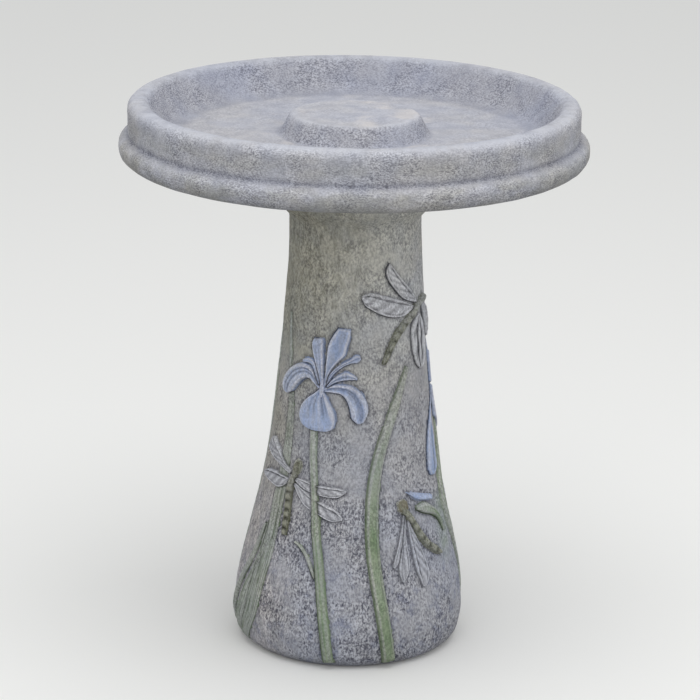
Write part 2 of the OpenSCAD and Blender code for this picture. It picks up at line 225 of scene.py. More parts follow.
speck = stepUp(coarse, edge, calc("ADD", edge, 0.09))
colour = blend(product(speck, given["Specks"]), colour, given["Speck"])
pitted = product(given["Pit"], stepUp(fine, 0.36, 0.6, 0.25, 1.0))
colour = blend(pitted, colour, given["Speck"])
# darkened by dark wash and by painted shade
settled = product(given["Wash"], stepUp(fine, 0.3, 0.6, 0.6, 1.0), True)
colour = blend(settled, colour, times(given["Speck"], (0.55, 0.55, 0.58, 1)))
feed(put["Color"], colour)
feed(put["Roughness"], calc("ADD", product(fine, 0.2), 0.76))
height = calc("SUBTRACT", product(fine, -0.6), product(coarse, 0.6))
feed(put["Height"], calc("SUBTRACT", height, product(speck, 0.2)))

# Stain brushed over the stone: thin where it is rubbed, dark where wash has settled and where shade is
# painted
stainGroup, given, put = newGroup(
    "rubbedStain",
    [("Place", "Vector"), ("Stone", "Color"), ("Stain", "Color"), ("Second", "Color"), ("Rub", "Float"),
     ("Wash", "Float"), ("Line", "Color"), ("Grit", "Float")],
    [("Color", "Color")])
streaks = grain(stretched(given["Place"], 0.22), 170.0, 4.0, 0.65)
spots = grain(given["Place"], 420.0, 3.0, 0.6)
stain = blend(stepUp(streaks, 0.36, 0.64), given["Stain"], given["Second"])
flecks = product(stepUp(spots, 0.5, 0.66), 0.3)
stain = blend(product(flecks, given["Grit"]), stain, given["Line"])
patchy = product(stepUp(spots, 0.36, 0.58, -0.35, 0.3), given["Grit"])
bare = product(given["Rub"], calc("ADD", patchy, 0.9), True)
colour = blend(bare, stain, given["Stone"])
# darkened by dark wash and by painted shade
settled = product(given["Wash"], stepUp(spots, 0.3, 0.62, 0.7, 1.0), True)
feed(put["Color"], blend(settled, colour, given["Line"]))


def newMaterial(name):
    material = bpy.data.materials.new(name)
    material.use_nodes = True
    work["tree"] = material.node_tree
    shader = material.node_tree.nodes["Principled BSDF"]
    shader.inputs["Specular IOR Level"].default_value = 0.22
    shader.inputs["Roughness"].default_value = 0.88
    return material, shader, newNode("ShaderNodeTexCoord")["Object"]


def dress(shader, colour, made, strength, distance):
    given = {"Strength": strength, "Distance": distance, "Height": made["Height"]}
    bump = newNode("ShaderNodeBump", given)
    for label, value in (("Base Color", colour), ("Roughness", made["Roughness"]), ("Normal", bump[0])):
        feed(shader.inputs[label], value)


stoneLook = {"Pale": paint(212, 213, 218), "Deep": paint(132, 132, 139), "Speck": paint(82, 82, 94),
             "Cool": (0.965, 0.975, 1.0, 1), "Warm": (1.0, 0.985, 0.955, 1)}


def stone(place, squash, contrast, specks, scale, cast=True):
    # only the two castings have pits and wash in the stone itself
    pit, wash = (attribute("pit"), attribute("wash")) if cast else (0.0, 0.0)
    return useGroup(stoneGroup, Place=place, Grain=stretched(place, squash),
                    Contrast=contrast, Specks=specks, Scale=scale, Pit=pit, Wash=wash, **stoneLook)


def heightTint(height):
    # bluish near the ground, neutral from the bloom up
    return blend(stepUp(height, 0.04, 0.36), (0.925, 0.95, 1.0, 1), (1.0, 1.0, 0.99, 1))


# Bowl: grainy walls, a smoother and paler rim, floor and boss; painted bluish shade in its hollows; the rim's
# crest pale from wear and a painted highlight, painted highlights on the bead's top and the boss's lip,
# painted glints on the floor by the boss
bowlStone, shader, place = newMaterial("bowlStone")
walls = attribute("wall")
made = stone(place, 1.6, calc("ADD", product(walls, 0.5), 0.28),
             calc("ADD", product(walls, 0.25), 0.03), 470.0)
# painted bluish shade where the blue attribute is set, elsewhere a touch paler and cooler
colour = blend(attribute("blue"), times(made["Color"], (1.05, 1.06, 1.085, 1)),
               times(made["Color"], (0.78, 0.805, 0.88, 1)))
patches = stepUp(grain(stretched(place, 2.2), 19.0, 4.0, 0.6), 0.34, 0.6)
colour = tinted(product(patches, attribute("band")), colour, (0.83, 0.82, 0.75, 1))
# painted glints on the floor and the boss's top
creamy = stepUp(grain(place, 21.0, 3.0), 0.52, 0.68)
colour = blend(product(creamy, attribute("cream")), colour, paint(214, 209, 207))
# pale where worn, and painted highlights: the rim's crest, the bead's top and the boss's lip
scuffed = stepUp(grain(place, 60.0, 4.0, 0.6), 0.34, 0.62, 0.1, 0.5)
colour = blend(product(attribute("worn"), scuffed), colour, paint(208, 211, 220))
dress(shader, colour, made, 0.45, 0.0014)

# Pedestal: the same stone, rougher; scarred in the shelter of the bowl, and up there painted shade tinged
# olive on the left and painted light on the right; bruised at the foot, hatched on the left flank, with green
# spilt by the bud
columnStone, shader, place = newMaterial("columnStone")
spot = axes(place)
sideways, upward = spot[0], spot[2]
made = stone(place, 0.62, stepUp(upward, 0.1, 0.34, 1.0, 0.6),
             stepUp(upward, 0.1, 0.32, 0.85, 0.25), 500.0)
colour = times(made["Color"], heightTint(upward))
bruised = product(stepUp(grain(place, 70.0, 4.0, 0.65), 0.5, 0.66), stepUp(upward, 0.2, 0.06))
colour = tinted(bruised, colour, (0.72, 0.74, 0.82, 1))
# below the bowl: painted shade tinged olive on the left, reaching lower there, and painted light on the right
drift = product(calc("SUBTRACT", grain(place, 16.0, 3.0), 0.5), 0.3)
reach = calc("ADD", calc("ADD", upward, drift), product(sideways, -0.7))
across = blend(stepUp(sideways, -0.08, 0.07), (0.84, 0.835, 0.7, 1), (1.31, 1.315, 1.2, 1))
colour = tinted(stepUp(reach, 0.2, 0.46), colour, across)
scars = stepUp(grain(stretched(place, 0.5), 190.0, 5.0, 0.7), 0.36, 0.66)
scarred = product(stepUp(upward, 0.3, 0.42), stepUp(sideways, 0.045, -0.01))
colour = tinted(scarred, colour, blend(scars, (1.15, 1.14, 1.12, 1), (0.76, 0.75, 0.71, 1)))
hatch = stepUp(grain(stretched(place, 0.16), 230.0, 4.0, 0.7), 0.4, 0.6)
flank = product(stepUp(sideways, -0.045, -0.1), stepUp(upward, 0.36, 0.2))
colour = tinted(flank, colour, blend(hatch, (0.82, 0.79, 0.74, 1), (1.3, 1.22, 1.12, 1)))
spilt = stepUp(grain(place, 150.0, 3.0), 0.35, 0.6, 0.5, 1.0)
colour = blend(product(attribute("spill"), spilt), colour, paint(150, 166, 146))
dress(shader, colour, made, 0.55, 0.0018)


def stainMaterial(name, stainColour, second, line, rubbed, grit, sandShare, band=None, cooled=False):
    material, shader, place = newMaterial(name)
    made = stone(place, 0.72, 0.85, 0.35, 460.0, cast=False)
    done = useGroup(stainGroup, Place=place, Stone=blend(0.7, made["Color"], rubbed),
                    Stain=stainColour, Second=second, Rub=attribute("worn"),
                    Wash=attribute("wash"), Line=line, Grit=grit)
    sand = times(made["Color"], (2.2, 2.2, 2.15, 1))
    colour = blend(sandShare, done["Color"], sand, "MULTIPLY")
    if band:
        colour = blend(attribute("band"), colour, band)
        colour = blend(attribute("rust"), colour, paint(122, 108, 86))
    if cooled:
        colour = times(colour, heightTint(axes(place)[2]))
    dress(shader, colour, made, 0.5, 0.0015)
    return material


petalStain = stainMaterial("petalStain", paint(166, 184, 219), paint(184, 194, 216), paint(50, 54, 68),
                           paint(230, 234, 247), 0.35, 0.4)
leafStain = stainMaterial("leafStain", paint(127, 147, 116), paint(149, 162, 137), paint(58, 62, 52),
                          paint(183, 187, 177), 0.5, 0.5)
insectStain = stainMaterial("insectStain", paint(110, 113, 88), paint(134, 137, 112), paint(52, 52, 45),
                            paint(170, 171, 158), 0.9, 0.6, paint(166, 166, 150))
wingStone = stainMaterial("wingStone", paint(194, 194, 197), paint(182, 182, 186), paint(60, 60, 65),
                          paint(236, 237, 239), 0.6, 0.5, cooled=True)
print("materials made")

# The pedestal's face: radius at a height, and its lean, in mm
column = {
    "stations": [(0, 121), (38, 127), (124, 112.5), (213, 93.5), (329, 79.7), (482, 71.8), (504, 88),
                 (546, 94)],
    "seat": 546, "footRound": 16, "capRound": 5,
    "coreFoot": 83, "coreHead": 37.8, "coreTop": 440, "coreRound": 12,
    "spigot": 46, "spigotTop": 574, "spigotBevel": 4,
    "lean": [(0, 0.6), (60, 0.8), (105, 1.4), (165, 3.2), (240, 3), (420, 3), (490, 2.2), (546, 0)],
    "turns": 288, "rowStep": 2.05,
    "swell": 1.1, "lump": 0.8, "pitDepth": 0.8, "roughness": 0.45,
    "washReach": 6, "washFade": (2.8, 0.2), "washLeast": 0.36, "washRight": 0.4,
    "pitStain": 0.3, "coreStain": 0.2,
    "spillAngle": 69, "spillWide": 7, "spillFrom": (92, 125), "spillTo": (188, 165), "spillShare": 0.55,
}


def plainRadius(z):
    stops = column["stations"]
    last = len(stops) - 1
    slopes = [(stops[i + 1][1] - stops[i][1]) / (stops[i + 1][0] - stops[i][0]) for i in range(last)]
    tangents = [slopes[0]] + [0 if a * b <= 0 else 2 * a * b / (a + b) for a, b in zip(slopes, slopes[1:])]
    tangents.append(slopes[-1])
    i = 0
    while i < last - 1 and z >= stops[i + 1][0]:
        i += 1
    gap = stops[i + 1][0] - stops[i][0]
    t = (z - stops[i][0]) / gap
    return (stops[i][1] * (1 + 2 * t) * (1 - t) ** 2 + tangents[i] * gap * t * (1 - t) ** 2
            + stops[i + 1][1] * t * t * (3 - 2 * t) + tangents[i + 1] * gap * t * t * (t - 1))


def edgeCut(size, distance):
    return 0 if distance >= size else size - math.sqrt(max(size * size - (size - distance) ** 2, 0))


levels = np.linspace(0, column["seat"], 4 * column["seat"] + 1)
radii = np.array([plainRadius(z) - edgeCut(column["footRound"], z)
                  - edgeCut(column["capRound"], column["seat"] - z) for z in levels])
leanAt, leanBy = zip(*column["lean"])


def faceRadius(z):
    return np.interp(z, levels, radii)


def faceSwell(x, y, z):
    # slow unevenness of the hand-made mould, in mm, fading out at the foot and the seat
    points = np.c_[x, y, z] * mm
    fade = smooth(0, 30, z) * smooth(0, 26, column["seat"] - z)
    return fade * (column["swell"] * noiseAt(points, 7.0) + column["lump"] * noiseAt(points, 24.0, 0.8, 3.1))


def onFace(angle, z, lift):
    # a place on the leaning, uneven face, lifted off it, in metres
    turn = np.radians(angle)
    plain = faceRadius(z)
    out = plain + faceSwell(plain * np.sin(turn), -plain * np.cos(turn), z) + lift
    return np.c_[out * np.sin(turn) + np.interp(z, leanAt, leanBy), -out * np.cos(turn), z] * mm


# Spun pieces: one point drawn out along a profile, then spun round the axis
def spinPiece(name, profile, turns):
    pickNothing()
    bpy.ops.mesh.primitive_plane_add(size=0.002)
    piece = bpy.context.active_object
    piece.name = piece.data.name = name
    editAll()
    bpy.ops.mesh.merge(type="CENTER")
    bpy.ops.transform.translate(value=(profile[0][0] * mm, 0, profile[0][1] * mm))
    for (r, z), (nextR, nextZ) in zip(profile, profile[1:]):
        bpy.ops.mesh.extrude_vertices_move(
            TRANSFORM_OT_translate={"value": ((nextR - r) * mm, 0, (nextZ - z) * mm)})
    bpy.ops.mesh.select_all(action="SELECT")
    bpy.ops.mesh.spin(steps=turns, angle=2 * math.pi, center=(0, 0, 0), axis=(0, 0, 1))
    cleanMesh(1e-5)
    return piece


def arcPoints(centreR, centreZ, size, start, end, count):
    angles = np.radians(np.linspace(start, end, count + 1))
    return [(centreR + size * math.cos(a), centreZ + size * math.sin(a)) for a in angles]


def drawnLine(points, step):
    # the same line with a point at least every step
    out = [points[0]]
    for (r0, z0), (r1, z1) in zip(points, points[1:]):
        count = max(1, round(math.hypot(r1 - r0, z1 - z0) / step))
        out += [(r0 + (r1 - r0) * k / count, z0 + (z1 - z0) * k / count) for k in range(1, count + 1)]
    return out


# Relief strips: a grid given thickness, then laid on the face between its two edges
def along(stops, t):
    stops = np.asarray(stops, float)
    if stops.ndim == 1:
        stops = stops[:, None]
    n = len(stops) - 1
    i = np.clip((t * n).astype(int), 0, n - 1)
    f = (t * n - i)[:, None]
    a, b, c, d = stops[np.maximum(i - 1, 0)], stops[i], stops[i + 1], stops[np.minimum(i + 2, n)]
    return b + 0.5 * f * ((c - a) + f * ((2 * a - 5 * b + 4 * c - d) + f * (3 * b - a - 3 * c + d)))


def stripEdges(strip, u):
    if "right" in strip:
        right, left = along(strip["right"], u), along(strip["left"], u)
    else:
        middle = along(strip["route"], u)
        way = along(strip["route"], np.minimum(u + 0.01, 1)) - along(strip["route"], np.maximum(u - 0.01, 0))
        r = faceRadius(middle[:, 1])
        way[:, 0] *= np.radians(1) * r
        way /= np.linalg.norm(way, axis=1)[:, None]
        half = np.maximum(along(strip["widths"], u)[:, 0], 0.8)
        aside = np.c_[np.degrees(half * way[:, 1] / r), -half * way[:, 0]]
        right, left = middle + aside, middle - aside
    turn = np.array([strip["turn"], 0])
    return right + turn, left + turn


def acrossFace(first, second):
    r = faceRadius((first[:, 1] + second[:, 1]) / 2)
    return np.hypot(np.radians(second[:, 0] - first[:, 0]) * r, second[:, 1] - first[:, 1])


relief = {"sunk": 4.5, "rowStep": 1.5, "fewestRows": 14, "edgeColumns": 8, "grain": 0.18, "skirt": 1.6,
          "film": 0.2, "crease": 2.2, "creaseDark": 0.85, "bandShare": 0.55, "strokeLength": 0.07}
usualStrip = {"turn": 0, "round": False, "lines": (), "linesTo": 0.9, "dots": False, "bare": 0.1,
              "outline": 1, "ink": 0.5, "dark": 0, "rub": 0.5, "soft": 0, "rust": 0, "rustTo": 0.16,
              "plain": False}
darkSide = np.array([-0.75, -0.66])  # painted shade lies most on the lower left of each shape


def layStrip(strip):
    right, left = stripEdges(strip, np.linspace(0, 1, 120))
    middle = (right + left) / 2
    length = acrossFace(middle[:-1], middle[1:]).sum()
    skirt = relief["skirt"]
    extra = skirt / length
    pickNothing()
    rows = max(relief["fewestRows"], round(length / relief["rowStep"]))
    bpy.ops.mesh.primitive_grid_add(x_subdivisions=strip["columns"] + relief["edgeColumns"],
                                    y_subdivisions=rows, size=2)
    piece = bpy.context.active_object
    editAll()
    bpy.ops.mesh.extrude_region_move(TRANSFORM_OT_translate={"value": (0, 0, -1)})
    bpy.ops.object.mode_set(mode="OBJECT")
    flat = readPoints(piece)
    s = 0.5 * flat[:, 0] + 0.5 * np.sin(flat[:, 0] * math.pi / 2)  # rows and columns gather at the edges
    u = 0.5 + (0.5 + extra) * (0.68 * flat[:, 1] + 0.32 * np.sin(flat[:, 1] * math.pi / 2))
    on = np.clip(u, 0, 1)
    right, left = stripEdges(strip, on)
    half = acrossFace(right, left) / 2
    middle = (right + left) / 2
    toLeft = (left - right) / 2 * ((half + skirt) / half)[:, None]
    back, ahead = stripEdges(strip, np.clip(on - 0.02, 0, 1)), stripEdges(strip, np.clip(on + 0.02, 0, 1))
    way = (ahead[0] + ahead[1] - back[0] - back[1]) / 2
    r = faceRadius(middle[:, 1])
    perDegree = np.c_[np.radians(1) * r, np.ones_like(r)]
    way = way / np.linalg.norm(way * perDegree, axis=1)[:, None]
    place = middle + s[:, None] * toLeft + ((u - on) * length)[:, None] * way
    inward = np.minimum((1 - np.abs(s)) * (half + skirt), (np.minimum(u, 1 - u) + extra) * length + 0.02)
    inner = inward - skirt
    edge = half if strip["round"] else np.minimum(strip["edge"], 0.8 * half)
    near = np.clip(inner / edge, 0, 1)
    shoulder = np.sqrt(1 - (1 - near) ** 2)
    thick = strip["thick"] * np.ones_like(u)
    if "swell" in strip:
        thick = thick * along(strip["swell"], on)[:, 0]
    s = np.clip(s * (half + skirt) / half, -1, 1)
    carved = np.zeros_like(u)
    fade = smooth(0, 0.1, on) * smooth(0, 0.1, 1 - on)
    linesTo = strip["linesTo"]
    for at, rise, wide in strip["lines"]:  # ridges and grooves along the strip
        carved += rise * np.exp(-((s - at) / wide) ** 2) * fade * smooth(linesTo + 0.3, linesTo, on)
    if "veins" in strip:  # slanting ribs of a wing
        count, slant, rise = strip["veins"]
        ribs = np.cos(2 * math.pi * (on * count + slant * s))
        carved += rise * ribs * smooth(0.02, 0.3, 1 - np.abs(s)) * fade
    band = np.zeros_like(u)
    if "beads" in strip:  # segments of a body, from a share of the way on, barred or dotted
        count, start, rise = strip["beads"]
        beat = np.abs(np.sin(math.pi * (count * (on - start) - 0.18 * s * s)))
        tail = smooth(start, start + 0.04, on)
        carved += rise * (beat - 0.6) * tail
        dots = np.exp(-((np.abs(s) - 0.42) / 0.2) ** 2)
        across = dots if strip["dots"] else smooth(0.9, 0.4, np.abs(s))
        band = relief["bandShare"] * smooth(0.7, 0.99, beat) * across * tail
    outward = toLeft * perDegree * np.sign(s)[:, None]
    outward = outward / np.linalg.norm(outward + 1e-9, axis=1)[:, None]
    # dark: how far this edge faces the lower left, where shade is painted
    dark = smooth(-0.6, 0.8, outward @ darkSide)
    film = relief["film"] - 0.45 * (1 - dark) - 1.4 * smooth(0.45, 0, inward)
    lift = film + (thick - relief["film"]) * shoulder + carved * smooth(0.3, 1, shoulder)
    laid = onFace(place[:, 0], place[:, 1], lift)
    sand = noiseAt(laid, 260.0) + noiseAt(laid, 110.0, 1.0, 3.3)
    lift += relief["grain"] * sand * (0.3 + 0.7 * shoulder)
    top = flat[:, 2] > -0.5
    writePoints(piece, onFace(place[:, 0], place[:, 1], np.where(top, lift, -relief["sunk"])))
    foot = smooth(0.5, 0.12, shoulder)
    sunk = np.clip(-carved / 0.9, 0, 1) * smooth(0.4, 1, shoulder)
    border = smooth(0.12, 0.4, near) * smooth(1, 0.7, near) + np.clip(carved / 0.6, 0, 1)
    bare, outline = strip["bare"], strip["outline"]
    if isinstance(bare, list):
        bare = along(bare, on)[:, 0]
    # dark at each strip's foot: dark wash all round, with painted shade heavier on the lower left; dark in
    # the grooves
    wash = foot * (0.5 + 0.5 * dark) * outline + strip["ink"] * sunk + strip["dark"]
    worn = strip["rub"] * border + bare + strip["soft"] * smooth(0.8, 0.2, shoulder)
    if "streaks" in strip:  # stain that lies in long thin strokes
        strokes = np.c_[s * half, relief["strokeLength"] * on * length, np.full_like(u, 3.7)] * mm
        strokes = noiseAt(strokes, 330.0) + noiseAt(strokes, 800.0, 1.0, 5.1)
        wash = wash + strip["streaks"] * np.clip(strokes, 0, 1)
        worn = worn - 0.15 * strip["streaks"] - strip["streaks"] * np.clip(strokes, -1, 1)
    rustTo = strip["rustTo"]
    rust = strip["rust"] * smooth(rustTo, rustTo / 2, on) * smooth(0.3, 0.9, shoulder)
    writeAttributes(piece, wash=np.clip(wash, 0, 1), worn=np.clip(worn, 0, 1) * (1 - foot * outline),
                    band=band, rust=rust)
    editAll()
    cleanMesh(2e-5)
    return piece


def treeOf(pieces):
    corners, faces = [], []
    for piece in pieces:
        start = len(corners)
        corners += [v.co.copy() for v in piece.data.vertices]
        faces += [[start + i for i in p.vertices] for p in piece.data.polygons]
    return BVHTree.FromPolygons(corners, faces)


reliefPieces = []
laidStrips = []
plainStrips = []  # strips that draw no crease


def makeRelief(node, strips, slot, material):
    strips = [dict(usualStrip, **strip) for strip in strips]
    made = [layStrip(strip) for strip in strips]
    plainStrips.extend(part for part, strip in zip(made, strips) if strip["plain"])
    laidStrips.append((node, made, slot, material))


def creaseStrips():
    # dark wash and painted shade: dark lines where one strip meets another
    parts = [part for node, made, slot, material in laidStrips for part in made if part not in plainStrips]
    trees = [treeOf([part]) for part in parts]
    spots = [readPoints(part) for part in parts]
    boxes = [(at.min(axis=0) - 0.002, at.max(axis=0) + 0.002) for at in spots]
    facing = [readPoints(part, "normal") for part in parts]
    reach = relief["crease"] * mm
    for part, at, box, normals in zip(parts, spots, boxes, facing):
        crease = np.zeros(len(at))
        for tree, otherBox, other in zip(trees, boxes, parts):
            if other is part or (box[0] > otherBox[1]).any() or (box[1] < otherBox[0]).any():
                continue
            close = np.nonzero(((at > otherBox[0]) & (at < otherBox[1])).all(axis=1))[0]
            for i in close:
                where, towards, face, gap = tree.find_nearest(Vector(at[i]), reach)
                if gap is not None:
                    meets = smooth(0.94, 0.7, towards.dot(Vector(normals[i])))
                    crease[i] = max(crease[i], meets * (1 - smooth(0.25, 1, gap / reach)))
        wash = np.empty(len(at), np.float32)
        part.data.attributes["wash"].data.foreach_get("value", wash)
        writeAttributes(part, wash=np.maximum(wash, relief["creaseDark"] * crease))


def joinRelief():
    for node, parts, slot, material in laidStrips:
        pickNothing()
        for part in parts:
            part.select_set(True)
        bpy.context.view_layer.objects.active = parts[0]
        if len(parts) > 1:
            bpy.ops.object.join()
        piece = bpy.context.active_object
        piece.name = piece.data.name = node + "_relief"
        finishPiece(piece, "pedestal", [node], material)
        reliefPieces.append(piece)


# A strip lies between two edges, or along a middle line with half widths, from root to tip. Points are
# (degrees from the front, mm up). Then come the thickness, the rounded edge's width and the columns. A stalk
# is round right across
def shape(right, left, thick, edge, columns, **more):
    return dict(more, right=right, left=left, thick=thick, edge=edge, columns=columns)


def shoot(route, widths, thick, edge, columns, **more):
    return dict(more, route=route, widths=widths, thick=thick, edge=edge, columns=columns)


def stalk(route, widths, thick, columns, **more):
    return dict(more, route=route, widths=widths, thick=thick, columns=columns, round=True)


# Bloom: hanging petals, upright petals and small arms
bloom = {
    "falls": [
        stalk([(-23.5, 299), (-23.5, 308), (-23, 320)], [1, 3, 1.5], 6.2, 14, rub=0.6, bare=0.4,
              plain=True),
        shape([(-25.5, 308), (-30, 302), (-36, 295), (-40, 286), (-41, 277), (-39, 269), (-34, 264),
               (-27, 262)],
              [(-23, 308), (-20.5, 302), (-17.5, 295), (-14.5, 287), (-12.5, 278), (-12.5, 270), (-15, 264),
               (-20, 262)], 6.2, 3, 56, swell=[0.7, 0.95, 1, 1.05, 0.9], linesTo=0.38, rub=0.75,
              lines=[(-0.88, 0.6, 0.09), (-0.36, -0.6, 0.07), (-0.08, -0.8, 0.06), (0.2, 0.4, 0.07),
                     (0.42, -1.5, 0.07), (0.62, -0.9, 0.06), (0.82, 1.1, 0.1)]),
        shape([(-21, 305), (-15, 305), (-9.5, 304), (-6, 300), (-3.5, 293), (-2, 285), (-1, 278), (3, 272)],
              [(-22, 309), (-15, 314), (-8, 315), (0, 313), (6, 306), (10, 296), (11, 285), (7.5, 273)],
              5.8, 2.8, 36, swell=[0.8, 1, 1, 1, 0.9], rub=0.5, ink=0.35,
              lines=[(0.1, -1.7, 0.24), (-0.62, 0.7, 0.16), (0.66, 0.8, 0.18), (0.2, -0.7, 0.07)]),
        shape([(-25.5, 310), (-29, 321), (-33, 330), (-40, 333), (-49, 329), (-57, 320), (-62, 308),
               (-61, 298), (-56, 294)],
              [(-26, 308), (-30, 313), (-33, 317), (-37, 317), (-41.5, 313), (-45, 307.5), (-48, 302),
               (-50.5, 298), (-53, 296)], 5.6, 2.6, 36, swell=[0.8, 1, 1, 1, 0.9], rub=0.6, bare=0.3,
              lines=[(-0.36, -1.1, 0.09), (0.06, -1.2, 0.1), (0.42, 0.5, 0.12), (-0.7, 0.8, 0.14),
                     (0.74, 0.5, 0.12)]),
    ],
    "standards": [
        shape([(-20.5, 311), (-19, 324), (-15, 334), (-10.5, 341), (-6.5, 347), (-5, 356), (-3, 366),
               (-2.5, 375)],
              [(-22, 312), (-21.5, 324), (-21.5, 334), (-21, 345), (-20.5, 355), (-18.5, 363), (-15.5, 370),
               (-12.5, 376)], 5.2, 2.4, 36, ink=0.3, rub=0.8,
              lines=[(0, -0.6, 0.4), (0.82, 0.8, 0.14), (-0.82, 0.9, 0.14), (-0.35, -0.5, 0.08)]),
        shape([(-22.5, 311), (-23, 324), (-23.5, 337), (-24, 350), (-24, 360), (-25, 363)],
              [(-24.5, 311), (-27, 324), (-30, 336), (-33, 348), (-34, 357), (-32.5, 362)], 4.8, 2.2, 32,
              rub=0.75, linesTo=0.6,
              lines=[(-0.25, -0.6, 0.1), (0.35, -0.5, 0.1), (0.76, 0.5, 0.12), (-0.7, 0.5, 0.14)]),
    ],
    "arms": [
        shape([(-20, 311), (-17, 321), (-13, 328), (-8, 334), (-2, 338), (3, 339), (5.5, 343)],
              [(-21.5, 313), (-18.5, 324), (-14, 332), (-8.5, 338), (-3, 342.5), (1, 347.5), (4.5, 347)],
              5.2, 2, 22, lines=[(0.1, -0.8, 0.2)], rub=0.85, swell=[0.7, 0.8, 0.9, 1, 1.1, 1.2]),
        shape([(-19, 310), (-15, 315), (-10, 318), (-5, 319.5), (0, 320), (2.5, 320)],
              [(-20, 312), (-16, 319.5), (-11, 325.5), (-5.5, 328.5), (-0.5, 326), (3, 322)], 4.8, 2.2, 26,
              lines=[(-0.1, -1.2, 0.16), (0.62, 0.7, 0.18)], rub=0.8),
        shape([(-25, 313), (-27.5, 323), (-29, 331), (-31, 337), (-35, 340), (-41, 338)],
              [(-26.5, 312), (-29.5, 322), (-31, 328), (-33, 333), (-36, 334.5), (-40.5, 334)],
              4.8, 1.8, 18, rub=0.8, swell=[0.8, 0.9, 1, 1.1, 1.2]),
    ],
}


def turned(strips, by):
    return [dict(strip, turn=by) for strip in strips]


for side, turn in (("front", 0), ("back", 196)):
    for kind, strips in bloom.items():
        makeRelief(side + "_iris_" + kind, turned(strips, turn), "petal_stain", petalStain)

# The bloom on the right flank and the bud below it
sideBloom = {
    "side_iris_falls": [
        shape([(90, 284), (79, 272), (72, 259), (67, 247), (64, 235), (61.5, 222), (60.5, 210),
               (62.5, 201)],
              [(92, 286), (82, 272), (77, 258), (76, 244), (75, 231), (74, 217), (73, 207), (67, 199)],
              3, 2.4, 30, bare=0, rub=0.45, swell=[0.3, 0.6, 0.9, 1.1, 1.2, 1],
              lines=[(0.3, -0.9, 0.2), (-0.65, 0.4, 0.15), (0.75, 0.4, 0.15)]),
        shoot([(100, 289), (107, 296), (115, 284), (121, 256), (123, 238), (122, 224)],
              [8 * w for w in (0.35, 0.55, 0.8, 1, 1, 0.45)], 4.4, 2.6, 22,
              lines=[(0, -1.6, 0.3), (-0.65, 0.5, 0.15), (0.65, 0.5, 0.15)]),
        shoot([(99, 287), (102, 270), (104, 252), (104.5, 236)], [14 * w for w in (0.2, 0.6, 0.9, 1, 0.62)],
              4.6, 3, 40,
              lines=[(-0.84, 0.8, 0.08), (0.1, -1.1, 0.05), (0.42, -1.0, 0.05), (-0.35, -0.7, 0.06),
                     (0.84, 0.6, 0.08)]),
    ],
    "side_iris_standards": [
        shoot([(99, 290), (101, 301), (103, 313), (104, 326)], [6.5 * w for w in (0.3, 0.55, 1, 0.95)],
              4.4, 2.4, 28, lines=[(-0.2, -0.9, 0.1), (0.4, -0.5, 0.1)]),
        shoot([(101, 292), (107, 308), (113, 325), (118, 343)], [9 * w for w in (0.3, 0.55, 1, 0.95)],
              4.8, 2.4, 30, lines=[(0, -0.6, 0.4), (0.82, 0.6, 0.13), (-0.82, 0.6, 0.13)], ink=0.2),
    ],
    "side_bud_petals": [
        shape([(38.5, 189), (42, 183.5), (48, 179.5), (58, 176)],
              [(37, 191), (42, 190), (49, 186.5), (59, 181.5)], 4.6, 2.2, 20, lines=[(0.1, 0.4, 0.3)],
              bare=0, rub=0.1, outline=0.3, soft=0.3),
    ],
}
for node, strips in sideBloom.items():
    makeRelief(node, strips, "petal_stain", petalStain)

